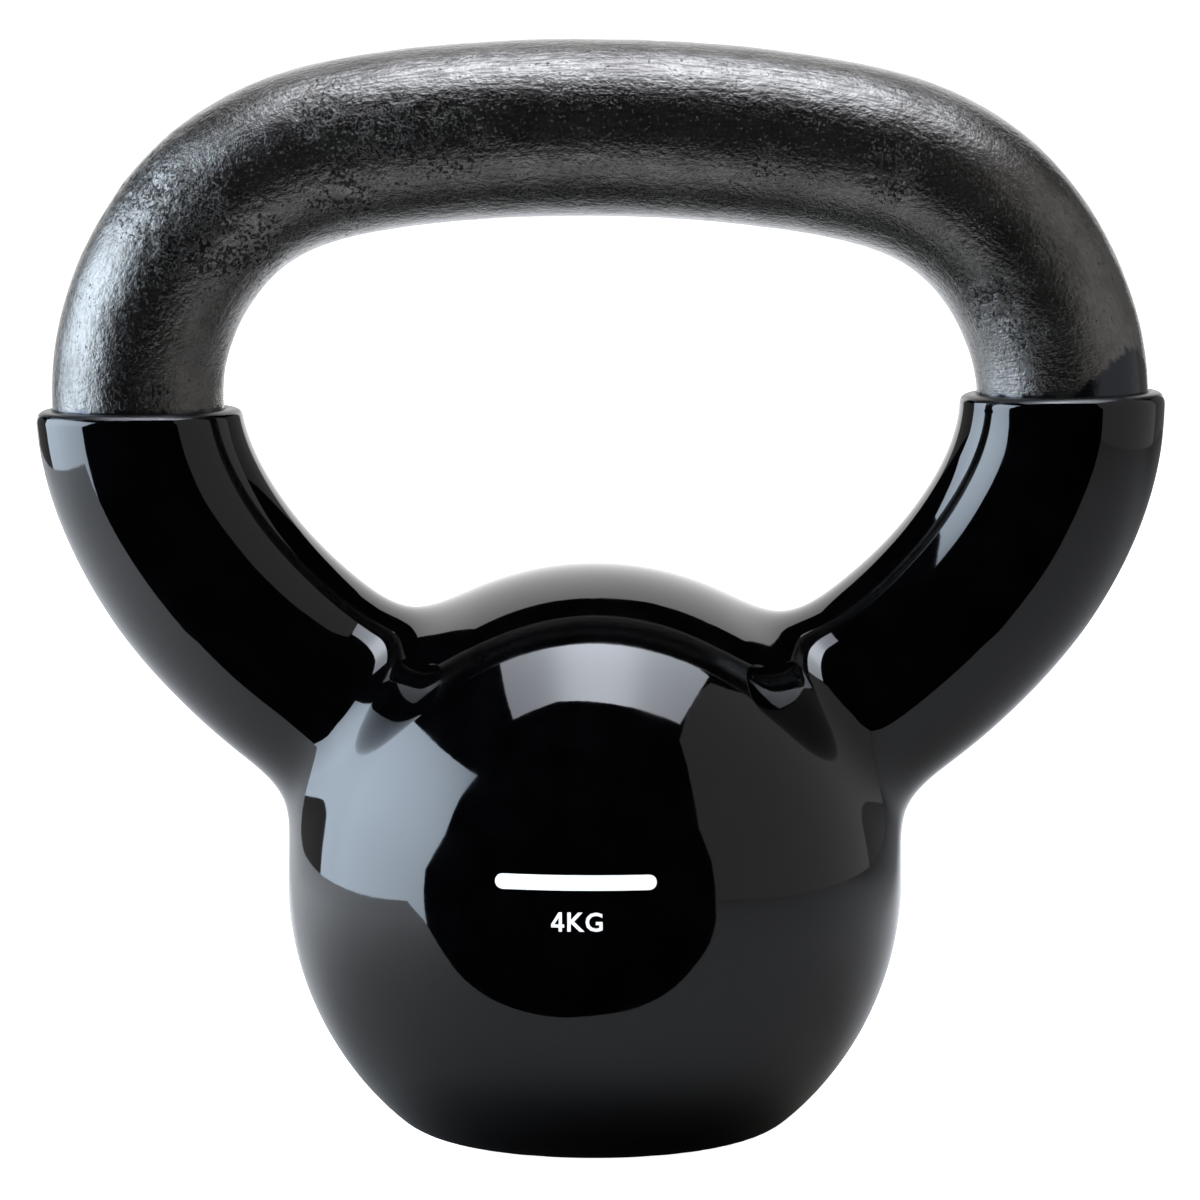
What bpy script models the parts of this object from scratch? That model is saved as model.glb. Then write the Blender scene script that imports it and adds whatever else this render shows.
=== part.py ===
"""Four-kilogram kettlebell: one iron casting, a dipped vinyl jacket up to its horns, and a printed weight mark.

Metres, +Z up. The origin is the centre of the flat base, +X runs along the handle to the right, and the
printed front faces -Y.

Ball, horns and handle are one smooth ring round the hand window, so every surface here is made of
cross-sections by half-planes that fan out from one line, the hinge line, which runs along Y through
the window. The dip line lies in the fan too, so the jacket's two rims are exact sections.
"""

import math

import bmesh
import bpy
import numpy as np

MM = 0.001

# The ball, over the vinyl: a spheroid, cut flat at Z = 0 to make the base
BALL_RADIUS = 47.2 * MM
BALL_HALF_HEIGHT = 48.0 * MM
BALL_CENTRE_Z = 39.2 * MM

# The handle's centreline, (X, Z), from the crown of the bar down the right-hand horn into the ball:
# control points of a uniform cubic B-spline, mirrored for the left-hand horn
HANDLE_CONTROLS_MM = (
    (0.0, 154.0),
    (30.3, 152.1),
    (53.5, 146.9),
    (66.7, 131.9),
    (72.4, 112.7),
    (66.3, 93.1),
    (51.1, 74.1),
    (29.2, 59.3),
    (7.3, 44.5),
)
HANDLE_OFFSET_X = 0.8 * MM
HANDLE_LEAN = math.radians(0.7)

# The bare iron of the handle is round, thinnest at the waist of its legs
WAIST_RADIUS = 13.05 * MM
WAIST_Z = 120.7 * MM
WAIST_SWELL = 0.4 * MM
WAIST_REACH = 35.2 * MM
MOST_SWELL = 0.6 * MM

# Width of the soft blend where a horn runs into the ball
HORN_BLEND = 11.0 * MM

# The vinyl, its clearance to the iron, and the plane where the dip ended
VINYL = 2.3 * MM
CLEARANCE = 0.3 * MM
COAT = VINYL + CLEARANCE
DIP_LINE_Z = 112.2 * MM
DIP_TILT = math.radians(1.04)
LIP_RADIUS = 1.6 * MM
LIP_STEPS = 3

# Printed mark on the front: a plain bar over the weight
INK = 0.15 * MM
INK_LIFT = 0.1 * MM
MARK_X = -2.7 * MM
BAR_Z = 45.3 * MM
BAR_LENGTH = 23.6 * MM
BAR_HEIGHT = 2.2 * MM
BAR_STEPS = 16
BAR_END_STEPS = 4
WEIGHT_Z = 39.6 * MM
WEIGHT_CAP_HEIGHT = 2.8 * MM
WEIGHT_STEP = 2.65 * MM
LETTER_BOLDNESS = 0.016

# Fineness of the faceted solids
HANDLE_RINGS = 30
JACKET_RINGS = 42
RING_POINTS = 32
CURVE_STEPS = 12
SPACING_SAMPLES = 181
BISECTIONS = 30
GRADIENT_STEP = 0.02 * MM
SHARP_EDGE = math.radians(28)


def clear_scene():
    for old in list(bpy.data.objects):
        bpy.data.objects.remove(old, do_unlink=True)


def principled(name, colour, roughness, metallic):
    material = bpy.data.materials.new(name)
    material.use_nodes = True
    shader = material.node_tree.nodes["Principled BSDF"]
    shader.inputs["Base Color"].default_value = (*colour, 1.0)
    shader.inputs["Roughness"].default_value = roughness
    shader.inputs["Metallic"].default_value = metallic
    return material


# The shape of ball and handle


def handle_centreline():
    """Points (X, Z) along the centreline, from the end in the ball's left half to the one in its right."""
    right = np.array(HANDLE_CONTROLS_MM) * MM
    controls = np.vstack([right[:0:-1] * (-1, 1), right])
    t = np.linspace(0, 1, CURVE_STEPS, endpoint=False)[:, None]
    weights = (
        (1 - t) ** 3 / 6,
        (3 * t**3 - 6 * t**2 + 4) / 6,
        (-3 * t**3 + 3 * t**2 + 3 * t + 1) / 6,
        t**3 / 6,
    )
    spans = [
        sum(weight * controls[first + k] for k, weight in enumerate(weights))
        for first in range(len(controls) - 3)
    ]
    upright = np.vstack(spans) - (0, DIP_LINE_Z)
    turn = np.array(
        (
            (math.cos(HANDLE_LEAN), math.sin(HANDLE_LEAN)),
            (-math.sin(HANDLE_LEAN), math.cos(HANDLE_LEAN)),
        )
    )
    return upright @ turn.T + (HANDLE_OFFSET_X, DIP_LINE_Z)


CENTRELINE = handle_centreline()


def distance_to_centreline(x, z):
    nearest = np.full(x.shape, np.inf)
    for start, end in zip(CENTRELINE[:-1], CENTRELINE[1:]):
        along = end - start
        share = ((x - start[0]) * along[0] + (z - start[1]) * along[1]) / (along @ along)
        share = np.clip(share, 0, 1)
        gap_x = x - start[0] - share * along[0]
        gap_z = z - start[1] - share * along[1]
        nearest = np.minimum(nearest, gap_x**2 + gap_z**2)
    return np.sqrt(nearest)


def handle_radius(z):
    """Radius of the iron at height Z."""
    swell = WAIST_SWELL * ((z - WAIST_Z) / WAIST_REACH) ** 2
    return WAIST_RADIUS + np.minimum(swell, MOST_SWELL)


def body_distance(point):
    """Signed distance to the vinyl surface, which runs on round the handle one coat clear of the iron."""
    x, y, z = point[..., 0], point[..., 1], point[..., 2]
    tube = np.hypot(distance_to_centreline(x, z), y) - handle_radius(z) - COAT
    level = z - BALL_CENTRE_Z
    scaled = np.sqrt((x**2 + y**2) / BALL_RADIUS**2 + level**2 / BALL_HALF_HEIGHT**2)
    steepness = np.sqrt((x**2 + y**2) / BALL_RADIUS**4 + level**2 / BALL_HALF_HEIGHT**4)
    ball = scaled * (scaled - 1) / np.maximum(steepness, 1e-9)
    overlap = np.clip(HORN_BLEND - np.abs(tube - ball), 0, None) / HORN_BLEND
    return np.minimum(tube, ball) - overlap**3 * HORN_BLEND / 6


def outward(point):
    """Unit normals of the vinyl surface."""
    slopes = [
        body_distance(point + step) - body_distance(point - step)
        for step in np.eye(3) * GRADIENT_STEP
    ]
    gradient = np.stack(slopes, axis=-1)
    return gradient / np.linalg.norm(gradient, axis=-1, keepdims=True)


# Sections by the fan of half-planes


def fan_point(angle, reach, y):
    """The point at this distance from the hinge line, in the half-plane at this angle above +X."""
    return np.stack(
        (reach * np.cos(angle), y, DIP_LINE_Z + reach * np.sin(angle)), axis=-1
    )


def run_to_surface(angle, centre, heading):
    """How far the surface is from a section's centre, in the half-plane, at this heading off straight out."""
    inside = np.zeros(np.broadcast(angle, centre, heading).shape)
    outside = inside + centre
    for _ in range(BISECTIONS):
        middle = (inside + outside) / 2
        point = fan_point(
            angle, centre + middle * np.cos(heading), middle * np.sin(heading)
        )
        beyond = body_distance(point) > 0
        outside = np.where(beyond, middle, outside)
        inside = np.where(beyond, inside, middle)
    return (inside + outside) / 2


def section_centre(angle):
    """Halfway between the inner and the outer side of each section."""
    trial = np.linspace(0.2, 2, 61) * (DIP_LINE_Z - BALL_CENTRE_Z)
    reach, along = np.meshgrid(trial, angle)
    depth = body_distance(fan_point(along, reach, np.zeros_like(reach)))
    seed = trial[depth.argmin(axis=1)]
    outer = run_to_surface(angle, seed, 0.0)
    inner = run_to_surface(angle, seed, math.pi)
    return seed + (outer - inner) / 2


def sections(angles):
    """Points and outward normals of the vinyl surface, one row of RING_POINTS for each angle."""
    heading = np.linspace(0, 2 * math.pi, RING_POINTS, endpoint=False)
    angle = np.asarray(angles)[:, None]
    centre = section_centre(np.asarray(angles))[:, None]
    run = run_to_surface(angle, centre, heading)
    points = fan_point(angle, centre + run * np.cos(heading), run * np.sin(heading))
    return points, outward(points)


def even_angles(first, last, count):
    """Angles from first to last, spaced so that the longest step over the surface stays the same."""
    fine = np.linspace(first, last, SPACING_SAMPLES)
    points, _ = sections(fine)
    steps = np.linalg.norm(np.diff(points, axis=0), axis=2).max(axis=1)
    travelled = np.concatenate(([0], np.cumsum(steps)))
    return np.interp(np.linspace(0, travelled[-1], count), travelled, fine)


RIGHT_RIM = DIP_TILT
LEFT_RIM = RIGHT_RIM + math.pi
FULL_TURN = 2 * math.pi


# Solids


def ring_loop(rings):
    """A closed skin over rings of equal length, the last ring joined to the first."""
    bm = bmesh.new()
    grid = [[bm.verts.new(point) for point in ring] for ring in rings]
    for here, after in zip(grid, grid[1:] + grid[:1]):
        for k, vert in enumerate(here):
            bm.faces.new((vert, here[k - 1], after[k - 1], after[k]))
    return bm, grid


def cut_base(bm, verts, height):
    """Cuts these vertices' faces off flat at this height and closes the hole with one face."""
    faces = {face for vert in verts for face in vert.link_faces}
    edges = {edge for face in faces for edge in face.edges}
    corners = {vert for face in faces for vert in face.verts}
    bmesh.ops.bisect_plane(
        bm,
        geom=list(corners | edges | faces),
        dist=1e-7,
        plane_co=(0, 0, height),
        plane_no=(0, 0, -1),
        clear_outer=True,
    )
    rim = [
        edge
        for edge in bm.edges
        if edge.is_boundary and all(abs(v.co.z - height) < 1e-6 for v in edge.verts)
    ]
    bmesh.ops.contextual_create(bm, geom=rim)


def add_solid(name, bm, material):
    bmesh.ops.recalc_face_normals(bm, faces=bm.faces)
    mesh = bpy.data.meshes.new(name)
    bm.to_mesh(mesh)
    bm.free()
    mesh.materials.append(material)
    mesh.shade_smooth()
    mesh.set_sharp_from_angle(angle=SHARP_EDGE)
    obj = bpy.data.objects.new(name, mesh)
    bpy.context.collection.objects.link(obj)
    return obj


def iron_casting(material):
    """Ball, horns and handle, poured in one piece."""
    over_handle = even_angles(RIGHT_RIM, LEFT_RIM, HANDLE_RINGS)
    round_ball = even_angles(LEFT_RIM, RIGHT_RIM + FULL_TURN, JACKET_RINGS)
    points, normals = sections(np.concatenate((over_handle[:-1], round_ball[:-1])))
    bm, grid = ring_loop(points - COAT * normals)
    cut_base(bm, [vert for ring in grid for vert in ring], COAT)
    return add_solid("iron_casting", bm, material)


def vinyl_jacket(material):
    """The dipped coat: an outer and an inner skin from rim to rim, joined over a rounded lip at each rim."""
    angles = even_angles(LEFT_RIM, RIGHT_RIM + FULL_TURN, JACKET_RINGS)
    points, normals = sections(angles)
    rim_reach = section_centre(angles[[0, -1]])
    lip_turns = np.linspace(0, math.pi / 2, LIP_STEPS + 1)

    def lip(rim_angle, reach, into_jacket):
        """Rings of the rounded edge, from the outer skin to the top of the rim."""
        back = LIP_RADIUS * (1 - np.sin(lip_turns)) / reach
        inset = LIP_RADIUS * (1 - np.cos(lip_turns))
        rim_points, rim_normals = sections(rim_angle + into_jacket * back)
        return rim_points - inset[:, None, None] * rim_normals

    left_lip = lip(angles[0], rim_reach[0], 1)
    right_lip = lip(angles[-1], rim_reach[1], -1)
    outer = points[1:-1]
    inner = (points - VINYL * normals)[::-1]
    rings = np.concatenate((left_lip[::-1], outer, right_lip, inner))
    bm, grid = ring_loop(rings)
    first_inner = len(left_lip) + len(outer) + len(right_lip)
    outer_verts = [vert for ring in grid[:first_inner] for vert in ring]
    inner_verts = [vert for ring in grid[first_inner + 1 : -1] for vert in ring]
    cut_base(bm, inner_verts, VINYL)
    cut_base(bm, [vert for vert in outer_verts if vert.is_valid], 0.0)
    return add_solid("vinyl_jacket", bm, material)


# Printed mark


def ball_front(x, z):
    """Y of the ball's front surface at (X, Z)."""
    level = (z - BALL_CENTRE_Z) / BALL_HALF_HEIGHT
    return -np.sqrt(BALL_RADIUS**2 * (1 - level**2) - x**2)


def lay_on_ball(bm):
    """Wraps flat artwork onto the front: Y = 0 becomes the underside of the ink and Y < 0 its face."""
    for vert in bm.verts:
        out = INK_LIFT + (INK if vert.co.y < 0 else 0)
        vert.co.y = ball_front(vert.co.x, vert.co.z) - out


def print_bar(material):
    """A plain bar with round ends."""
    radius = BAR_HEIGHT / 2
    straight = BAR_LENGTH / 2 - radius
    end = np.linspace(0, math.pi / 2, BAR_END_STEPS, endpoint=False)
    left = [(-straight - radius * math.cos(a), radius * math.sin(a)) for a in end]
    middle = [(x, radius) for x in np.linspace(-straight, straight, BAR_STEPS)]
    half_heights = left + middle + [(-x, half) for x, half in reversed(left)]
    bm = bmesh.new()
    loops = []
    for x, half in half_heights:
        corners = [(0, half), (-1, half), (-1, -half), (0, -half)]
        if half == 0:
            corners = [(0, 0), (-1, 0)]
        loops.append([bm.verts.new((MARK_X + x, y, BAR_Z + z)) for y, z in corners])
    for here, after in zip(loops, loops[1:]):
        if len(here) == 2:
            low, high = (here[0], here[1], here[1], here[0]), after
        elif len(after) == 2:
            low, high = here, (after[0], after[1], after[1], after[0])
        else:
            low, high = here, after
        for k in range(4):
            quad = (low[k - 1], low[k], high[k], high[k - 1])
            bm.faces.new(list(dict.fromkeys(quad)))
    lay_on_ball(bm)
    return add_solid("print_bar", bm, material)


def type_face(letter):
    """A built-in letter as flat faces in X and Y."""
    text = bpy.data.curves.new(letter, "FONT")
    text.body = letter
    text.resolution_u = 3
    text.offset = LETTER_BOLDNESS
    guide = bpy.data.objects.new(letter + "_outline", text)
    mesh = bpy.data.meshes.new_from_object(guide)
    bm = bmesh.new()
    bm.from_mesh(mesh)
    bpy.data.objects.remove(guide)
    bpy.data.meshes.remove(mesh)
    bmesh.ops.remove_doubles(bm, verts=bm.verts, dist=1e-4)
    return bm


def open_four():
    """A numeral 4 as flat faces in X and Y, drawn as strips round its three-cornered opening."""
    stem, bar, apex, foot = 0.17, 0.16, 1.0, 0.21
    left, right, stem_left = -0.34, 0.34, 0.05
    stem_right = stem_left + stem
    top_of_bar = foot + bar
    steepness = (apex - top_of_bar) / (stem_left - left)
    opening_left = left + 0.17
    opening_top = top_of_bar + (stem_left - opening_left) * steepness
    outer = [(left, foot), (left, top_of_bar), (stem_left, apex), (stem_right, apex)]
    outer += [(stem_right, top_of_bar), (stem_right, foot), (stem_left, foot)]
    inner = [(opening_left, top_of_bar)] * 2 + [(stem_left, opening_top)] * 2
    inner += [(stem_left, top_of_bar)] * 3
    bm = bmesh.new()
    corners = {}

    def corner(place):
        if place not in corners:
            corners[place] = bm.verts.new((*place, 0))
        return corners[place]

    around = list(zip(outer, inner))
    for (outer_a, inner_a), (outer_b, inner_b) in zip(around, around[1:] + around[:1]):
        ring = [corner(place) for place in (outer_a, outer_b, inner_b, inner_a)]
        bm.faces.new(list(dict.fromkeys(ring)))
    serif = [(stem_right, foot), (stem_right, top_of_bar), (right, top_of_bar), (right, foot)]
    leg = [(stem_left, 0.0), (stem_left, foot), (stem_right, foot), (stem_right, 0.0)]
    for strip in (serif, leg):
        bm.faces.new([corner(place) for place in strip])
    bmesh.ops.recalc_face_normals(bm, faces=bm.faces)
    return bm


def weight_glyph(name, bm, centre_x, material):
    """One letter of the weight, as solid ink, from its flat faces."""
    low = min(vert.co.y for vert in bm.verts)
    high = max(vert.co.y for vert in bm.verts)
    left = min(vert.co.x for vert in bm.verts)
    right = max(vert.co.x for vert in bm.verts)
    scale = WEIGHT_CAP_HEIGHT / (high - low)
    for vert in bm.verts:
        x = centre_x + (vert.co.x - (left + right) / 2) * scale
        z = WEIGHT_Z + (vert.co.y - (low + high) / 2) * scale
        vert.co = (x, 0, z)
    face_side = bmesh.ops.extrude_face_region(bm, geom=bm.faces[:])
    for item in face_side["geom"]:
        if isinstance(item, bmesh.types.BMVert):
            item.co.y = -1
    lay_on_ball(bm)
    return add_solid(name, bm, material)


def main():
    clear_scene()
    iron = principled("lacquered_iron", (0.055, 0.055, 0.058), 0.42, 0.75)
    vinyl = principled("black_vinyl", (0.006, 0.006, 0.008), 0.08, 0.0)
    ink = principled("white_ink", (0.85, 0.85, 0.85), 0.5, 0.0)
    iron_casting(iron)
    vinyl_jacket(vinyl)
    print_bar(ink)
    weight_glyph("weight_numeral_4", open_four(), MARK_X - WEIGHT_STEP, ink)
    weight_glyph("weight_letter_k", type_face("K"), MARK_X, ink)
    weight_glyph("weight_letter_g", type_face("G"), MARK_X + WEIGHT_STEP, ink)


main()
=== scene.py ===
"""Looks of the four-kilogram kettlebell: lacquered cast iron above, dipped vinyl below, white print in front.

Everything is in metres in the part's own frame: the flat base is at Z = 0, +X runs along the handle to the
right, and the printed front faces -Y.

The shape is the one that the CAD model has, worked out again on a much finer mesh. Ball, horns and handle are
one smooth ring round the hand window, so the skins are made of sections by half-planes that fan out from a
hinge line along Y through the window. The plane where the dip ended lies in that fan.
"""

import math

import bpy
import numpy as np
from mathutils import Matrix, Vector, noise


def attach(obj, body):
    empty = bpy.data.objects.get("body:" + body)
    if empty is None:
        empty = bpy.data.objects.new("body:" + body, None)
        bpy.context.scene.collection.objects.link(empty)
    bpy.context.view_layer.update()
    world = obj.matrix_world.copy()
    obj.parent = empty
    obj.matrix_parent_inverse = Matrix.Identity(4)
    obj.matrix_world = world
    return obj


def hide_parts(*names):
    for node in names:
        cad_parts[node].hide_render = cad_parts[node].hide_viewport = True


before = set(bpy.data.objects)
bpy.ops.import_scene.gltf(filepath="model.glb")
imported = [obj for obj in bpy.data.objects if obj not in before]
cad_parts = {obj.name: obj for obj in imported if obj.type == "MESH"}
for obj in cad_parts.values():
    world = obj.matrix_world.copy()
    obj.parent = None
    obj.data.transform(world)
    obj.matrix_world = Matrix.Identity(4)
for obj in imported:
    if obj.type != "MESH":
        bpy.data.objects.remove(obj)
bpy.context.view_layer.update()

MM = 0.001

# The ball, over the vinyl: a spheroid that stands on a flat base with a soft edge
BALL_RADIUS = 47.2 * MM
BALL_HALF_HEIGHT = 48.0 * MM
BALL_CENTRE_Z = 39.2 * MM
BASE_EDGE = 2.4 * MM

# The handle's centreline, (X, Z), from the crown of the bar down the right-hand horn into the ball:
# control points of a uniform cubic B-spline, mirrored for the left-hand horn
HANDLE_CONTROLS_MM = (
    (0.0, 154.0),
    (30.3, 152.1),
    (53.5, 146.9),
    (66.7, 131.9),
    (72.4, 112.7),
    (66.3, 93.1),
    (51.1, 74.1),
    (29.2, 59.3),
    (7.3, 44.5),
)
HANDLE_OFFSET_X = 0.8 * MM
HANDLE_LEAN = math.radians(0.7)

# The bare iron of the handle is round, thinnest at the waist of its legs
WAIST_RADIUS = 13.05 * MM
WAIST_Z = 120.7 * MM
WAIST_SWELL = 0.4 * MM
WAIST_REACH = 35.2 * MM
MOST_SWELL = 0.6 * MM

# Where the casting is pitted: (X, Z, reach) of each patch
PITTED_PATCHES_MM = (
    (-66.0, 144.0, 10.0),
    (-60.0, 138.0, 12.0),
    (-52.0, 136.0, 9.0),
    (-40.0, 156.0, 7.0),
    (-31.0, 153.0, 9.0),
    (-22.0, 152.0, 8.0),
    (-38.0, 143.0, 7.0),
    (26.0, 149.0, 4.0),
    (44.0, 147.0, 6.0),
    (60.0, 128.0, 6.0),
    (65.0, 123.0, 4.0),
    (-66.0, 114.0, 3.0),
)

# Stretches of the bare handle that differ, each from where it starts to where it is full
LEG_X = (40 * MM, 56 * MM)
RINGED_X = (48 * MM, 58 * MM)
RINGED_Z = (132 * MM, 122 * MM)
# The crown and the left end carry painted shade on the iron, where the overhead and left softboxes'
# highlights fall
CROWN_Z = (148 * MM, 160 * MM)
LEFT_END_X = (-56 * MM, -72 * MM)

# The left bend, where the casting is roughest
HAMMERED_X = -62 * MM
HAMMERED_Z = 140 * MM
HAMMERED_REACH = 20 * MM

# Vinyl smeared up the outside of the right leg, in front, and the ragged film at both rims
SMEAR_X = 72 * MM
SMEAR_FADE = 8 * MM
SMEAR_HEIGHT = 6.5 * MM
FRONT_FADE = 6 * MM
FILM_EDGE = 0.3 * MM

# Width of the soft blend where a horn runs into the ball
HORN_BLEND = 11.0 * MM

# The vinyl, and the plane where the dip ended
VINYL = 2.3 * MM
COAT = 2.6 * MM
DIP_LINE_Z = 112.2 * MM
DIP_TILT = math.radians(1.04)
LIP_RADIUS = 1.6 * MM

RIGHT_RIM = DIP_TILT
LEFT_RIM = RIGHT_RIM + math.pi
FULL_TURN = 2 * math.pi

# How the names of the printed pieces begin
INK_PREFIXES = ("print_", "weight_")

# The stage, in metres. The table top ends in a curved front edge, (X, Y), with a black flag along its middle.
TABLE_EDGE = (
    (-0.21, -0.12),
    (-0.11, -0.09),
    (-0.05, -0.072),
    (0.0, -0.072),
    (0.05, -0.092),
    (0.14, -0.165),
    (0.3, -0.32),
)
TABLE_CORNERS = ((0.6, -0.6), (0.6, 1.0), (-0.43, 1.0))
TABLE_LEFT_FRONT = (-0.43, -0.16)
TABLE_DROP = 0.1 * MM
TABLE_LEVEL = 0.3
FLAG_LEFT = -0.12
FLAG_RIGHT = 0.15
FLAG_FOOT = -1 * MM
FLAG_TOP = 34 * MM

# A patch of table in front of that edge, made paler with painted light, and how much paler it is
FRONT_PATCH = ((-0.06, -0.2), (0.06, -0.2), (0.06, -0.06), (-0.06, -0.06))
FRONT_LIFT = 0.4

# The pale floor that the camera sees, round, with a cove up into a wall
SWEEP_FLOOR = 2.5
SWEEP_COVE = 1.0
SWEEP_HEIGHT = 4.5
SWEEP_SIDES = 96
SWEEP_DROP = 0.05 * MM

# The light cards' planes, and the faint light that comes from everywhere
SIDE_CARD_X = 0.8
TOP_CARD_Z = 1.0
BACK_CARD_Y = 1.0
FRONT_CARD_Y = -1.1
ROOM_GLOW = 0.002

# The camera
LENS_MM = 168.9
SENSOR_MM = 36.0
CAMERA_PLACE = (0.00081, -0.8561, 0.1743)
CAMERA_AIM = (0.00081, 0.0, 0.0816)

# Fineness
CURVE_STEPS = 6
SPACING_SAMPLES = 241
BISECTIONS = 24
GRADIENT_STEP = 0.02 * MM
LIP_STEPS = 8
COAT_RINGS = 330
COAT_POINTS = 144
LINING_RINGS = 60
HANDLE_RINGS = 500
HIDDEN_RINGS = 40
HANDLE_POINTS = 176

# How far past a rim, as an angle of the fan, the fine skin of the iron runs under the vinyl, and how far
# short of it the vinyl's lining stops
FINE_MARGIN = 0.12
LINING_MARGIN = 0.02


# The handle's centreline


def spline_controls():
    right = np.array(HANDLE_CONTROLS_MM) * MM
    upright = np.vstack([right[:0:-1] * (-1, 1), right]) - (0, DIP_LINE_Z)
    cosine, sine = math.cos(HANDLE_LEAN), math.sin(HANDLE_LEAN)
    turn = np.array(((cosine, sine), (-sine, cosine)))
    return upright @ turn.T + (HANDLE_OFFSET_X, DIP_LINE_Z)


CONTROLS = spline_controls()
SPANS = len(CONTROLS) - 3


def spline(place):
    """Point, velocity and acceleration of the centreline at a place from 0 to SPANS."""
    first = np.clip(place.astype(int), 0, SPANS - 1)
    t = place - first
    weights = (
        ((1 - t) ** 3 / 6, -((1 - t) ** 2) / 2, 1 - t),
        ((3 * t**3 - 6 * t**2 + 4) / 6, (3 * t**2 - 4 * t) / 2, 3 * t - 2),
        ((-3 * t**3 + 3 * t**2 + 3 * t + 1) / 6, (-3 * t**2 + 2 * t + 1) / 2, 1 - 3 * t),
        (t**3 / 6, t**2 / 2, t),
    )
    return [
        sum(weights[k][order][..., None] * CONTROLS[first + k] for k in range(4))
        for order in range(3)
    ]


COARSE_PLACES = np.linspace(0, SPANS, SPANS * CURVE_STEPS + 1)
COARSE_POINTS = spline(COARSE_PLACES)[0]


def nearest_place(x, z):
    """Where on the centreline the nearest point to each (X, Z) is."""
    best = np.full(x.shape, np.inf)
    place = np.zeros(x.shape)
    for candidate, point in zip(COARSE_PLACES, COARSE_POINTS):
        gap = (x - point[0]) ** 2 + (z - point[1]) ** 2
        place = np.where(gap < best, candidate, place)
        best = np.minimum(gap, best)
    target = np.stack((x, z), axis=-1)
    for _ in range(4):
        point, velocity, acceleration = spline(place)
        gap = target - point
        slope = (gap * velocity).sum(-1)
        bend = (velocity**2).sum(-1) - (gap * acceleration).sum(-1)
        stiffest = 0.2 * (velocity**2).sum(-1)
        place = np.clip(place + slope / np.maximum(bend, stiffest), 0, SPANS)
    return place


# The shape of ball and handle


def handle_radius(z):
    """Radius of the iron at height Z."""
    swell = WAIST_SWELL * ((z - WAIST_Z) / WAIST_REACH) ** 2
    return WAIST_RADIUS + np.minimum(swell, MOST_SWELL)


def body_distance(point):
    """Signed distance to the vinyl surface, which runs on round the handle one coat clear of the iron."""
    x, y, z = point[..., 0], point[..., 1], point[..., 2]
    centre = spline(nearest_place(x, z))[0]
    tube = np.sqrt((x - centre[..., 0]) ** 2 + (z - centre[..., 1]) ** 2 + y**2)
    tube = tube - handle_radius(z) - COAT
    level = z - BALL_CENTRE_Z
    scaled = np.sqrt((x**2 + y**2) / BALL_RADIUS**2 + level**2 / BALL_HALF_HEIGHT**2)
    steepness = np.sqrt((x**2 + y**2) / BALL_RADIUS**4 + level**2 / BALL_HALF_HEIGHT**4)
    ball = scaled * (scaled - 1) / np.maximum(steepness, 1e-9)
    overlap = np.clip(HORN_BLEND - np.abs(tube - ball), 0, None) / HORN_BLEND
    return np.minimum(tube, ball) - overlap**3 * HORN_BLEND / 6


def outward(point):
    """Unit normals of the vinyl surface."""
    slopes = [
        body_distance(point + step) - body_distance(point - step)
        for step in np.eye(3) * GRADIENT_STEP
    ]
    gradient = np.stack(slopes, axis=-1)
    return gradient / np.linalg.norm(gradient, axis=-1, keepdims=True)


def fan_point(angle, reach, y):
    """The point at this distance from the hinge line, in the half-plane at this angle above +X."""
    return np.stack(
        (reach * np.cos(angle), y, DIP_LINE_Z + reach * np.sin(angle)), axis=-1
    )


def run_to_surface(angle, centre, heading):
    """How far the surface is from a section's centre, in the half-plane, at this heading off straight out."""
    inside = np.zeros(np.broadcast(angle, centre, heading).shape)
    outside = inside + centre
    for _ in range(BISECTIONS):
        middle = (inside + outside) / 2
        point = fan_point(
            angle, centre + middle * np.cos(heading), middle * np.sin(heading)
        )
        beyond = body_distance(point) > 0
        outside = np.where(beyond, middle, outside)
        inside = np.where(beyond, inside, middle)
    return (inside + outside) / 2


def section_centre(angle):
    """Halfway between the inner and the outer side of each section."""
    trial = np.linspace(0.2, 2, 61) * (DIP_LINE_Z - BALL_CENTRE_Z)
    reach, along = np.meshgrid(trial, angle)
    depth = body_distance(fan_point(along, reach, np.zeros_like(reach)))
    seed = trial[depth.argmin(axis=1)]
    outer = run_to_surface(angle, seed, 0.0)
    inner = run_to_surface(angle, seed, math.pi)
    return seed + (outer - inner) / 2


def sections(angles, count):
    """Points and outward normals of the vinyl surface, one row of count points for each angle."""
    heading = np.linspace(0, FULL_TURN, count, endpoint=False)
    angle = np.asarray(angles)[:, None]
    centre = section_centre(np.asarray(angles))[:, None]
    run = run_to_surface(angle, centre, heading)
    points = fan_point(angle, centre + run * np.cos(heading), run * np.sin(heading))
    return points, outward(points)


def even_angles(first, last, count):
    """Angles from first to last, spaced so that the longest step over the surface stays the same."""
    fine = np.linspace(first, last, SPACING_SAMPLES)
    points, _ = sections(fine, 24)
    steps = np.linalg.norm(np.diff(points, axis=0), axis=2).max(axis=1)
    travelled = np.concatenate(([0], np.cumsum(steps)))
    return np.interp(np.linspace(0, travelled[-1], count), travelled, fine)


def stand_on(points, height, softness):
    """Flattens what lies under this height, with a soft edge of about this radius."""
    above = points[..., 2] - height
    dip = np.clip(softness - np.abs(above), 0, None)
    points[..., 2] = height + np.maximum(above, 0) + dip**2 / (4 * softness)
    return points


# Mesh objects


def ring_faces(rings, count, closed):
    """Quads between neighbouring rings of count points each, facing out of the body."""
    ring = np.arange(rings if closed else rings - 1)[:, None]
    here = ring * count
    after = (ring + 1) % rings * count
    k = np.arange(count)[None, :]
    before = (k - 1) % count
    return np.stack((here + k, here + before, after + before, after + k), -1).reshape(-1, 4)


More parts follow.
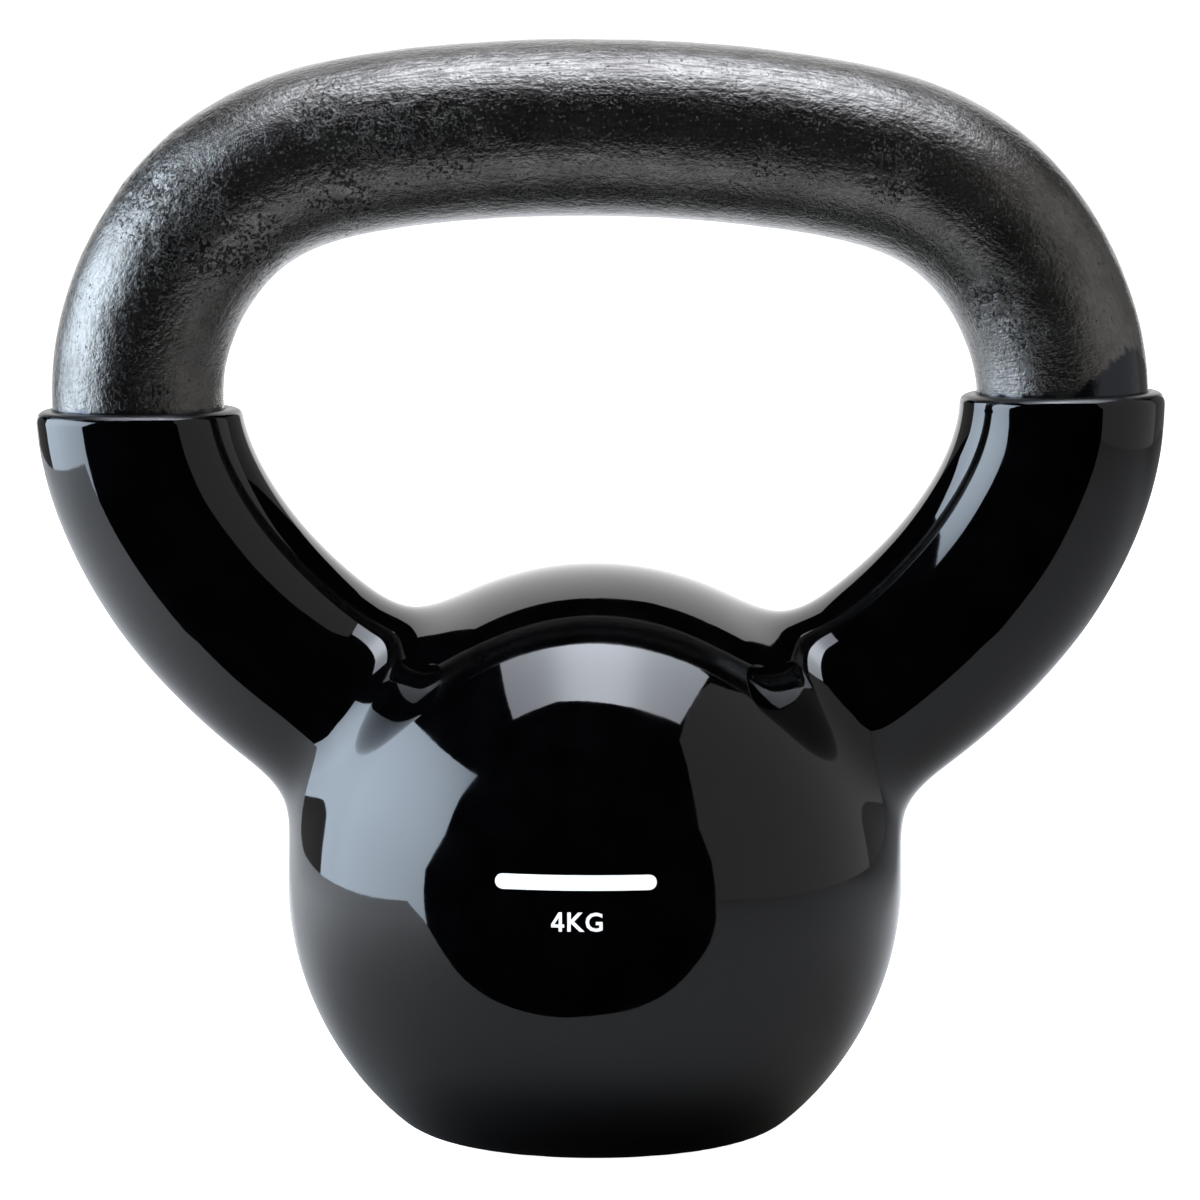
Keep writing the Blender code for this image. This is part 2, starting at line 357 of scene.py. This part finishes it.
def mesh_object(name, points, faces, material):
    mesh = bpy.data.meshes.new(name)
    mesh.from_pydata(points.reshape(-1, 3).tolist(), [], faces.tolist())
    mesh.materials.append(material)
    mesh.shade_smooth()
    obj = bpy.data.objects.new(name, mesh)
    bpy.context.collection.objects.link(obj)
    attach(obj, "root")
    return obj


def noise_field(points, size, octaves, seed):
    """Smooth noise of about -1 to 1 at points in metres, with features of about this size."""
    offset = Vector((seed * 17.3, seed * -9.1, seed * 5.7))
    flat = (points.reshape(-1, 3) / size).tolist()
    values = [
        noise.fractal(Vector(p) + offset, 0.9, 2.1, octaves, noise_basis="PERLIN_ORIGINAL")
        for p in flat
    ]
    return np.array(values).reshape(points.shape[:-1])


# Node materials


class Nodes:
    """A short way to write a Principled material's nodes."""

    def __init__(self, name):
        self.material = bpy.data.materials.new(name)
        self.material.use_nodes = True
        self.tree = self.material.node_tree
        self.shader = self.tree.nodes["Principled BSDF"]

    def add(self, kind, inputs=(), **settings):
        node = self.tree.nodes.new(kind)
        for key, value in settings.items():
            setattr(node, key, value)
        for key, value in dict(inputs).items():
            self.put(node.inputs[key], value)
        return node

    def put(self, socket, value):
        if isinstance(value, bpy.types.NodeSocket):
            self.tree.links.new(value, socket)
        else:
            socket.default_value = value

    def set(self, **inputs):
        for key, value in inputs.items():
            self.put(self.shader.inputs[key.replace("_", " ")], value)

    def math(self, operation, *values):
        node = self.add("ShaderNodeMath", operation=operation)
        for socket, value in zip(node.inputs, values):
            self.put(socket, value)
        return node.outputs[0]

    def noise(self, vector, size, detail=2.0, roughness=0.5):
        inputs = {"Vector": vector, "Scale": 1 / size, "Detail": detail, "Roughness": roughness}
        return self.add("ShaderNodeTexNoise", inputs).outputs["Fac"]

    def stretch(self, vector, factors):
        node = self.add("ShaderNodeVectorMath", operation="MULTIPLY")
        self.put(node.inputs[0], vector)
        self.put(node.inputs[1], factors)
        return node.outputs[0]

    def ramp(self, value, low, high, first=0.0, last=1.0):
        inputs = {"Value": value, 1: low, 2: high, 3: first, 4: last}
        node = self.add("ShaderNodeMapRange", inputs, interpolation_type="SMOOTHSTEP")
        return node.outputs[0]

    def blend(self, share, first, second):
        node = self.add("ShaderNodeMix", data_type="RGBA")
        for key, value in ((0, share), (6, first), (7, second)):
            self.put(node.inputs[key], value)
        return node.outputs[2]

    def bump(self, height, distance, strength=1.0, normal=None):
        node = self.add("ShaderNodeBump", {"Height": height, "Distance": distance, "Strength": strength})
        if normal is not None:
            self.put(node.inputs["Normal"], normal)
        return node.outputs[0]


def iron_material():
    """Rough sand-cast iron under thin grey-black lacquer, pitted in patches where the sand broke away."""
    m = Nodes("lacquered_cast_iron")
    place = m.add("ShaderNodeTexCoord").outputs["Object"]
    along = m.add("ShaderNodeAttribute", attribute_name="straightened").outputs["Vector"]
    pitted = m.add("ShaderNodeAttribute", attribute_name="pitted").outputs["Fac"]
    filmed = m.add("ShaderNodeAttribute", attribute_name="filmed").outputs["Fac"]
    axes = m.add("ShaderNodeSeparateXYZ", {"Vector": place}).outputs

    # Flaked scale on the legs, strokes along the bar, and crosswise rings low on the right leg
    scale = m.noise(m.stretch(along, (0.4, 1.0, 1.0)), 0.5 * MM, 4.0, 0.65)
    strokes = m.noise(m.stretch(along, (0.13, 1.0, 1.0)), 0.5 * MM, 4.0, 0.6)
    marks = m.ramp(m.math("ABSOLUTE", axes["X"]), *LEG_X, strokes, scale)
    rings = m.noise(m.stretch(along, (1.0, 0.12, 0.12)), 0.4 * MM, 3.0, 0.6)
    ringed = m.math("MULTIPLY", m.ramp(axes["X"], *RINGED_X), m.ramp(axes["Z"], *RINGED_Z))
    grain = m.noise(place, 0.34 * MM, 4.0, 0.7)
    flakes = m.noise(place, 0.8 * MM, 4.0, 0.65)
    clouds = m.noise(place, 7.0 * MM, 4.0, 0.6)

    # Pits: a speck here and there, and many in the pitted patches
    specks = m.noise(place, 0.4 * MM, 4.0, 0.6)
    holes = m.math("ADD", m.noise(place, 0.6 * MM, 4.0, 0.6), m.math("MULTIPLY", pitted, 0.16))
    pits = m.math("MAXIMUM", m.ramp(holes, 0.64, 0.69), m.ramp(specks, 0.65, 0.72))

    # Colour: cloudy grey lacquer, darker in the marks and black in the pits, with painted shade at the crown
    # and the left end that dims the highlights of the overhead and left softboxes
    dark = (0.112, 0.106, 0.099, 1.0)
    light = (0.155, 0.149, 0.14, 1.0)
    black_marks_and_shade = (0.005, 0.005, 0.005, 1.0)
    vinyl = (0.04, 0.042, 0.048, 1.0)
    tone = m.blend(m.ramp(clouds, 0.35, 0.65), dark, light)
    # The marks darken the lacquer by a share that rises at the crown; the rise is painted shade over the
    # overhead softbox's highlight, not wear
    worn = m.ramp(axes["Z"], *CROWN_Z, 0.2, 0.45)
    tone = m.blend(m.math("MULTIPLY", m.ramp(marks, 0.45, 0.62), worn), tone, black_marks_and_shade)
    # Painted shade: the crown and the left end are darkened further, to dim the softbox highlights there
    painted_highlight_shade = m.math("MAXIMUM", m.ramp(axes["Z"], *CROWN_Z), m.ramp(axes["X"], *LEFT_END_X))
    tone = m.blend(m.math("MULTIPLY", painted_highlight_shade, 0.25), tone, black_marks_and_shade)
    tone = m.blend(m.math("MULTIPLY", pits, 0.85), tone, black_marks_and_shade)
    m.set(Base_Color=m.blend(filmed, tone, vinyl))
    m.set(Roughness=m.math("ADD", m.ramp(grain, 0.3, 0.7, 0.07, 0.12), m.math("MULTIPLY", pits, 0.2)))
    m.set(Metallic=0.94, IOR=1.5)

    # Relief, which the film of vinyl softens
    bare = m.ramp(filmed, 0.0, 1.0, 1.0, 0.25)
    height = m.math("ADD", m.math("MULTIPLY", grain, 0.45), m.math("MULTIPLY", marks, 0.5))
    height = m.math("ADD", height, m.math("MULTIPLY", rings, ringed))
    normal = m.bump(height, 0.085 * MM, bare)
    height = m.math("SUBTRACT", flakes, m.math("MULTIPLY", pits, 0.15))
    m.set(Normal=m.bump(height, 0.17 * MM, bare, normal))
    return m.material


def vinyl_material():
    """Black plastisol, glossy, with the faint swell that a dip leaves and a matt residue at its rims."""
    m = Nodes("dipped_black_vinyl")
    place = m.add("ShaderNodeTexCoord").outputs["Object"]
    swell = m.noise(place, 14.0 * MM, 1.0, 0.4)
    peel = m.noise(place, 3.0 * MM, 2.0, 0.5)
    haze = m.noise(place, 6.0 * MM, 4.0, 0.6)
    deep = (0.0003, 0.0003, 0.0004, 1.0)
    worn = (0.0008, 0.0008, 0.001, 1.0)
    m.set(Base_Color=m.blend(m.ramp(haze, 0.3, 0.75), deep, worn))

    # The residue, from where the height along the tilted dip line nears the rim
    axes = m.add("ShaderNodeSeparateXYZ", {"Vector": place}).outputs
    rim = m.math("SUBTRACT", axes["Z"], m.math("MULTIPLY", axes["X"], math.tan(DIP_TILT)))
    residue = m.math("ADD", m.ramp(rim, DIP_LINE_Z - 1.5 * MM, DIP_LINE_Z), m.math("MULTIPLY", peel, 0.7))
    residue = m.ramp(residue, 0.75, 1.1)
    m.set(Roughness=m.math("ADD", m.ramp(haze, 0.3, 0.8, 0.03, 0.06), m.math("MULTIPLY", residue, 0.3)))
    m.set(IOR=1.45)
    height = m.math("ADD", m.math("MULTIPLY", swell, 0.8), m.math("MULTIPLY", peel, 0.05))
    m.set(Normal=m.bump(height, 0.25 * MM, 0.35))
    return m.material


def ink_material():
    """Opaque white pad-printing ink, thin enough to let a little black through at its pinholes."""
    m = Nodes("white_print_ink")
    place = m.add("ShaderNodeTexCoord").outputs["Object"]
    cloud = m.noise(place, 0.8 * MM, 3.0, 0.6)
    full = (0.9, 0.9, 0.9, 1.0)
    thin = (0.72, 0.72, 0.73, 1.0)
    m.set(Base_Color=m.blend(m.ramp(cloud, 0.6, 0.75), full, thin))
    m.set(Roughness=m.ramp(cloud, 0.3, 0.7, 0.38, 0.5))
    m.set(Normal=m.bump(cloud, 0.02 * MM, 0.5))
    return m.material


# The casting


def straightened(points):
    """Where each point would lie if the handle were straightened out: along it, off its axis, and Y."""
    place = nearest_place(points[..., 0], points[..., 2])
    samples = np.linspace(0, SPANS, 400)
    steps = np.linalg.norm(np.diff(spline(samples)[0], axis=0), axis=1)
    lengths = np.concatenate(([0], np.cumsum(steps)))
    centre, velocity, _ = spline(place)
    velocity = velocity / np.linalg.norm(velocity, axis=-1, keepdims=True)
    off = points[..., [0, 2]] - centre
    side = off[..., 0] * velocity[..., 1] - off[..., 1] * velocity[..., 0]
    return np.stack((np.interp(place, samples, lengths), side, points[..., 1]), axis=-1)


def patchiness(points):
    """From 0 to 1, how pitted the casting is: a few patches, (X, Z, reach), and nowhere else."""
    share = np.zeros(points.shape[:-1])
    for x, z, reach in PITTED_PATCHES_MM:
        away = np.hypot(points[..., 0] - x * MM, points[..., 2] - z * MM) / (reach * MM)
        share = np.maximum(share, np.clip(1.6 - 1.6 * away, 0, 1))
    ragged = noise_field(points, 3.5 * MM, 3, 6)
    return np.clip(share * (0.9 + 0.9 * ragged), 0, 1)


def casting_relief(points, along, pitted):
    """How far sand, scale and lacquer lift the surface: lumps, shallow hollows and lengthwise marks."""
    away = np.hypot(points[..., 0] - HAMMERED_X, points[..., 2] - HAMMERED_Z)
    hammered = 0.35 + 0.65 * np.exp(-((away / HAMMERED_REACH) ** 2))
    swell = noise_field(points, 12 * MM, 2, 1)
    lumps = noise_field(points, 3.2 * MM, 3, 2)
    grain = noise_field(points, 1.3 * MM, 2, 3)
    marks = noise_field(along * (0.22, 1, 1), 1.4 * MM, 2, 4)
    holes = np.clip(-noise_field(points, 1.7 * MM, 2, 5) - 0.05, 0, None) * pitted
    relief = 0.05 * swell + (0.06 * lumps + 0.05 * grain) * hammered + 0.02 * marks
    return (relief - 0.3 * holes) * MM


def clinging_film(points):
    """From 0 to 1, how much vinyl clings to the iron: a ragged film at each rim, a smear on the right leg."""
    above = points[..., 2] - DIP_LINE_Z - points[..., 0] * math.tan(DIP_TILT)
    ragged = noise_field(points, 2.2 * MM, 3, 9)
    height = (0.5 + 0.5 * ragged) * MM
    front = np.clip(-points[..., 1] / FRONT_FADE, 0, 1)
    run = np.clip((points[..., 0] - SMEAR_X) / SMEAR_FADE, 0, 1)
    height = height + SMEAR_HEIGHT * run * front + 0.4 * ragged * run * MM
    return np.clip((height - above) / FILM_EDGE, 0, 1)


def store(obj, name, kind, field, values):
    """Keeps a value for each point of the mesh, which its material reads by name."""
    layer = obj.data.attributes.new(name, kind, "POINT")
    layer.data.foreach_set(field, values.reshape(-1).astype(np.float32))


def cast_iron(material):
    """Ball, horns and handle in one piece, its skin fine over the bare handle and plain under the vinyl."""
    bare = even_angles(RIGHT_RIM - FINE_MARGIN, LEFT_RIM + FINE_MARGIN, HANDLE_RINGS)
    hidden = even_angles(bare[-1], bare[0] + FULL_TURN, HIDDEN_RINGS)
    points, normals = sections(np.concatenate((bare[:-1], hidden[:-1])), HANDLE_POINTS)
    points = points - COAT * normals
    along = straightened(points)
    shown = slice(0, len(bare) - 1)
    relief, pitted, film = np.zeros((3, *points.shape[:-1]))
    film[shown] = clinging_film(points[shown])
    pitted[shown] = patchiness(points[shown])
    relief[shown] = casting_relief(points[shown], along[shown], pitted[shown])
    points = stand_on(points + relief[..., None] * normals, COAT, BASE_EDGE / 2)
    faces = ring_faces(len(points), HANDLE_POINTS, True)
    obj = mesh_object("cast_iron_body", points, faces, material)
    store(obj, "straightened", "FLOAT_VECTOR", "vector", along)
    store(obj, "pitted", "FLOAT", "value", pitted)
    store(obj, "filmed", "FLOAT", "value", film)
    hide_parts("iron_casting")
    return obj


# The vinyl


def vinyl_coat(material):
    """The dipped coat: a fine outer skin, a rounded lip at each rim, and a lining against the iron."""
    angles = even_angles(LEFT_RIM, RIGHT_RIM + FULL_TURN, COAT_RINGS)
    rim_reach = section_centre(angles[[0, -1]])
    turns = np.linspace(0, math.pi / 2, LIP_STEPS + 1)
    back = LIP_RADIUS * (1 - np.sin(turns))
    inset = LIP_RADIUS * (1 - np.cos(turns))

    def lip(rim_angle, reach, into_coat):
        """Rings of the rounded edge, from the outer skin to the top of the rim, and on to the iron."""
        ring_points, ring_normals = sections(rim_angle + into_coat * back / reach, COAT_POINTS)
        rounded = ring_points - inset[:, None, None] * ring_normals
        foot = ring_points[-1:] - (COAT + 0.1 * MM) * ring_normals[-1:]
        return np.concatenate((rounded, foot))

    left_lip = lip(angles[0], rim_reach[0], 1)
    right_lip = lip(angles[-1], rim_reach[1], -1)
    clear = LIP_RADIUS / rim_reach.mean()
    between = (angles > angles[0] + clear * 1.2) & (angles < angles[-1] - clear * 1.2)
    outer, normals = sections(angles[between], COAT_POINTS)
    wave = noise_field(outer, 22 * MM, 2, 8) * 0.05 * MM
    outer = outer + wave[..., None] * normals
    first, last = LEFT_RIM + LINING_MARGIN, RIGHT_RIM + FULL_TURN - LINING_MARGIN
    lining, lining_normals = sections(even_angles(first, last, LINING_RINGS), COAT_POINTS)
    lining = stand_on(lining - VINYL * lining_normals, VINYL, BASE_EDGE / 2)
    outer_side = stand_on(np.concatenate((left_lip[::-1], outer, right_lip)), 0.0, BASE_EDGE)
    rings = np.concatenate((outer_side, lining[::-1]))
    faces = ring_faces(len(rings), COAT_POINTS, True)
    obj = mesh_object("dipped_vinyl_coat", rings, faces, material)
    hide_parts("vinyl_jacket")
    return obj


# Stage, lights and camera


def stage_object(name, points, faces, material):
    mesh = bpy.data.meshes.new(name)
    mesh.from_pydata(points, [], faces)
    mesh.materials.append(material)
    obj = bpy.data.objects.new(name, mesh)
    bpy.context.collection.objects.link(obj)
    return obj


def flat_shape(name, corners, material):
    return stage_object(name, corners, [tuple(range(len(corners)))], material)


def glow(name, radiance, colour, fades):
    """An emission that fades along the named axes: axis -> ((place, share), ...) from low to high."""
    material = bpy.data.materials.new(name)
    material.use_nodes = True
    tree = material.node_tree
    tree.nodes.clear()
    lamp = tree.nodes.new("ShaderNodeEmission")
    lamp.inputs["Color"].default_value = (*colour, 1.0)
    strength = tree.nodes.new("ShaderNodeValue")
    strength.outputs[0].default_value = radiance
    share = strength.outputs[0]
    place = tree.nodes.new("ShaderNodeTexCoord")
    axes = tree.nodes.new("ShaderNodeSeparateXYZ")
    tree.links.new(place.outputs["Object"], axes.inputs[0])
    for axis, stops in fades.items():
        ramp = tree.nodes.new("ShaderNodeFloatCurve")
        low, high = stops[0][0], stops[-1][0]
        fit = tree.nodes.new("ShaderNodeMapRange")
        fit.inputs[1].default_value = low
        fit.inputs[2].default_value = high
        tree.links.new(axes.outputs[axis], fit.inputs[0])
        tree.links.new(fit.outputs[0], ramp.inputs["Value"])
        points = ramp.mapping.curves[0].points
        while len(points) < len(stops):
            points.new(0.5, 0.5)
        for point, (where, level) in zip(points, stops):
            point.location = ((where - low) / (high - low), level)
        ramp.mapping.update()
        times = tree.nodes.new("ShaderNodeMath")
        times.operation = "MULTIPLY"
        tree.links.new(share, times.inputs[0])
        tree.links.new(ramp.outputs[0], times.inputs[1])
        share = times.outputs[0]
    tree.links.new(share, lamp.inputs["Strength"])
    out = tree.nodes.new("ShaderNodeOutputMaterial")
    tree.links.new(lamp.outputs[0], out.inputs[0])
    return material


def light_card(name, corners, radiance, colour=(1.0, 1.0, 1.0), fades=None):
    """A glowing panel that lights and is reflected, but that the camera doesn't see."""
    card = flat_shape(name, corners, glow(name, radiance, colour, fades or {}))
    card.visible_camera = False
    card.visible_shadow = False
    return card


def studio_lights():
    """A big softbox on the left and one overhead, dim cards elsewhere, and a fill that gloss doesn't see."""
    blue_white = (0.72, 0.85, 1.0)
    left = [(-0.39, -0.2), (-0.39, 0.12), (-0.49, 0.31), (-0.52, 0.55), (-0.57, 0.78)]
    left += [(-0.15, 0.7), (0.33, 0.65), (0.6, 0.4), (0.5, 0.26), (0.48, -0.2)]
    fades = {
        "Y": ((-0.6, 0.6), (-0.35, 0.95), (-0.1, 1.0), (0.15, 0.88), (0.35, 0.65), (0.6, 0.45)),
        "Z": ((-0.2, 0.75), (0.1, 0.9), (0.35, 1.0), (0.8, 0.7)),
    }
    light_card("left_softbox", [(-SIDE_CARD_X, y, z) for y, z in left], 11.0, blue_white, fades)
    top = [(-0.48, -0.34), (-0.2, -0.29), (0.53, -0.37), (0.58, 0.14)]
    top += [(0.24, 0.25), (0.0, 0.3), (-0.44, 0.27)]
    fades = {"X": ((-0.5, 0.4), (-0.3, 0.5), (0.02, 1.0), (0.3, 0.62), (0.6, 0.45))}
    light_card("overhead_softbox", [(x, y, TOP_CARD_Z) for x, y in top], 13.5, (0.85, 0.9, 1.0), fades)
    right = [(-0.82, -0.1), (-0.83, 0.25), (-0.91, 0.5), (-0.84, 0.93), (-0.7, 1.37), (-0.2, 1.49)]
    right += [(0.13, 1.31), (0.16, 1.09), (0.26, 0.82), (0.4, 0.5), (0.5, -0.1)]
    light_card("right_bounce_card", [(SIDE_CARD_X, y, z) for y, z in right], 0.55)
    side, back = SIDE_CARD_X, BACK_CARD_Y
    gap = [(side, 0.5, -0.1), (side, 0.4, 0.5), (0.5, back, 0.5), (0.43, back, -0.1)]
    light_card("right_gap", gap, 0.22)
    gap = [(-side, 0.48, -0.2), (-side, 0.5, 0.26), (-0.56, back, 0.4), (-0.53, back, -0.2)]
    light_card("left_gap", gap, 0.18)
    rear = [(-0.53, -0.2), (-0.56, 0.5), (-0.68, 1.25), (0.0, 1.32), (0.6, 1.2), (0.75, 1.03)]
    rear += [(0.5, 0.5), (0.43, -0.2)]
    light_card("rear_backdrop_glow", [(x, BACK_CARD_Y, z) for x, z in rear], 1.5)
    front = [(-0.5, 0.0), (0.5, 0.0), (0.5, 1.0), (-0.5, 1.0)]
    fill = light_card("front_fill", [(x, FRONT_CARD_Y, z) for x, z in front], 3.0)
    fill.visible_glossy = False


def smooth_line(controls, steps=5):
    """A smooth line through every control point."""
    p = np.array([controls[0], *controls, controls[-1]])
    t = np.arange(steps)[:, None] / steps
    pieces = []
    for a, b, c, d in zip(p, p[1:], p[2:], p[3:]):
        lean = t * (c - a) / 2
        bend = t**2 * (a - 2.5 * b + 2 * c - d / 2)
        twist = t**3 * (1.5 * (b - c) + (d - a) / 2)
        pieces.append(b + lean + bend + twist)
    return np.vstack([*pieces, p[-1:]]).tolist()


def pale_sweep():
    """A round white floor that curves up into a wall all round, seen by the camera and by nothing else."""
    material = bpy.data.materials.new("pale_stage")
    material.use_nodes = True
    shader = material.node_tree.nodes["Principled BSDF"]
    shader.inputs["Base Color"].default_value = (0.85, 0.85, 0.85, 1.0)
    shader.inputs["Roughness"].default_value = 0.9
    shader.inputs["Specular IOR Level"].default_value = 0.0
    shader.inputs["Emission Color"].default_value = (1.0, 1.0, 1.0, 1.0)
    shader.inputs["Emission Strength"].default_value = 1.0
    turns = np.linspace(0, math.pi / 2, 13)
    profile = [(0.02, 0.0), (0.3, 0.0), (1.0, 0.0)]
    profile += [(SWEEP_FLOOR + SWEEP_COVE * math.sin(a), SWEEP_COVE * (1 - math.cos(a))) for a in turns]
    profile += [(SWEEP_FLOOR + SWEEP_COVE, SWEEP_HEIGHT)]
    around = np.linspace(0, FULL_TURN, SWEEP_SIDES, endpoint=False)
    points = [(r * math.cos(a), r * math.sin(a), z) for r, z in profile for a in around]
    faces = ring_faces(len(profile), SWEEP_SIDES, False).tolist() + [tuple(range(SWEEP_SIDES))]
    sweep = stage_object("pale_sweep", points, faces, material)
    sweep.data.shade_smooth()
    sweep.location.z = -SWEEP_DROP
    sweep.visible_glossy = False
    sweep.visible_diffuse = False
    sweep.visible_shadow = False


def table_material(name, lift):
    """Painted shadow under the ball, and painted light to the left and just behind it; lift is added all
    over.
    """
    m = Nodes(name)
    place = m.add("ShaderNodeTexCoord").outputs["Object"]
    axes = m.add("ShaderNodeSeparateXYZ", {"Vector": place}).outputs
    # Painted light and shade: lighter to the left and just behind the ball, a little darker behind it to the
    # sides
    left = m.ramp(axes["X"], -0.02, -0.24, 0.0, 0.42)
    aside = m.ramp(m.math("ABSOLUTE", axes["X"]), 0.06, 0.22)
    behind = m.math("MULTIPLY", m.ramp(axes["Y"], 0.03, 0.3), m.ramp(aside, 0.0, 1.0, 0.6, 0.0))
    corner = m.math("MULTIPLY", m.ramp(axes["Y"], 0.05, 0.3), m.math("MULTIPLY", aside, -0.15))
    level = m.math("ADD", m.math("ADD", lift + TABLE_LEVEL, corner), m.math("MAXIMUM", left, behind))
    off_centre = m.add("ShaderNodeVectorMath", {0: place, 1: (0.0, 0.01, 0.0)}, operation="ADD").outputs[0]
    reach = m.add("ShaderNodeVectorMath", {0: off_centre}, operation="LENGTH").outputs["Value"]
    # Painted shadow: darker towards the ball's base, round a centre just in front of its middle
    level = m.math("MULTIPLY", level, m.ramp(reach, 0.02, 0.042, 0.12, 1.0))
    shades = {k: m.math("MULTIPLY", level, share) for k, share in enumerate((1.0, 0.97, 0.93))}
    m.set(Base_Color=m.add("ShaderNodeCombineColor", shades).outputs[0])
    m.set(Roughness=0.9, Specular_IOR_Level=0.0)
    return m.material


def table(edge):
    """The grey table that gloss sees and the camera doesn't, with its patch of painted light in front."""
    outline = [TABLE_LEFT_FRONT, *edge, *TABLE_CORNERS]
    corners = [(x, y, -TABLE_DROP) for x, y in outline]
    top = flat_shape("table_top", corners, table_material("table_top", 0.0))
    corners = [(x, y, -2 * TABLE_DROP) for x, y in FRONT_PATCH]
    # The front patch: painted light, a paler piece of table that only gloss sees
    apron = flat_shape("table_front", corners, table_material("table_front", FRONT_LIFT))
    for obj in (top, apron):
        obj.visible_camera = False
        obj.visible_shadow = False


def black_flag(edge):
    """A low black wall along the table's front edge, which gloss sees as a dark line."""
    material = bpy.data.materials.new("black_flag")
    material.use_nodes = True
    shader = material.node_tree.nodes["Principled BSDF"]
    shader.inputs["Base Color"].default_value = (0.0, 0.0, 0.0, 1.0)
    shader.inputs["Specular IOR Level"].default_value = 0.0
    flagged = [(x, y) for x, y in edge if FLAG_LEFT < x < FLAG_RIGHT]
    points = [(x, y, z) for x, y in flagged for z in (FLAG_FOOT, FLAG_TOP)]
    faces = [(k, k + 2, k + 3, k + 1) for k in range(0, len(points) - 2, 2)]
    flag = stage_object("black_flag", points, faces, material)
    flag.visible_camera = False
    flag.visible_shadow = False
    flag.visible_diffuse = False


def dim_room():
    world = bpy.data.worlds.new("dim_room")
    world.use_nodes = True
    backdrop = world.node_tree.nodes.get("Background")
    backdrop.inputs["Color"].default_value = (1.0, 1.0, 1.0, 1.0)
    backdrop.inputs["Strength"].default_value = ROOM_GLOW
    bpy.context.scene.world = world


def studio_camera():
    lens = bpy.data.cameras.new("photo_camera")
    lens.lens = LENS_MM
    lens.sensor_width = SENSOR_MM
    lens.clip_start = 0.05
    lens.clip_end = 30.0
    camera = bpy.data.objects.new("photo_camera", lens)
    bpy.context.collection.objects.link(camera)
    camera.location = CAMERA_PLACE
    aim = Vector(CAMERA_AIM) - camera.location
    camera.rotation_euler = aim.to_track_quat("-Z", "Y").to_euler()
    bpy.context.scene.camera = camera


def main():
    cast_iron(iron_material())
    vinyl_coat(vinyl_material())
    ink = ink_material()
    for name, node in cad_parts.items():
        if name.startswith(INK_PREFIXES):
            node.data.materials.clear()
            node.data.materials.append(ink)
    dim_room()
    studio_lights()
    pale_sweep()
    edge = smooth_line(TABLE_EDGE)
    table(edge)
    black_flag(edge)
    studio_camera()
    bpy.context.scene.view_settings.view_transform = "Standard"


main()
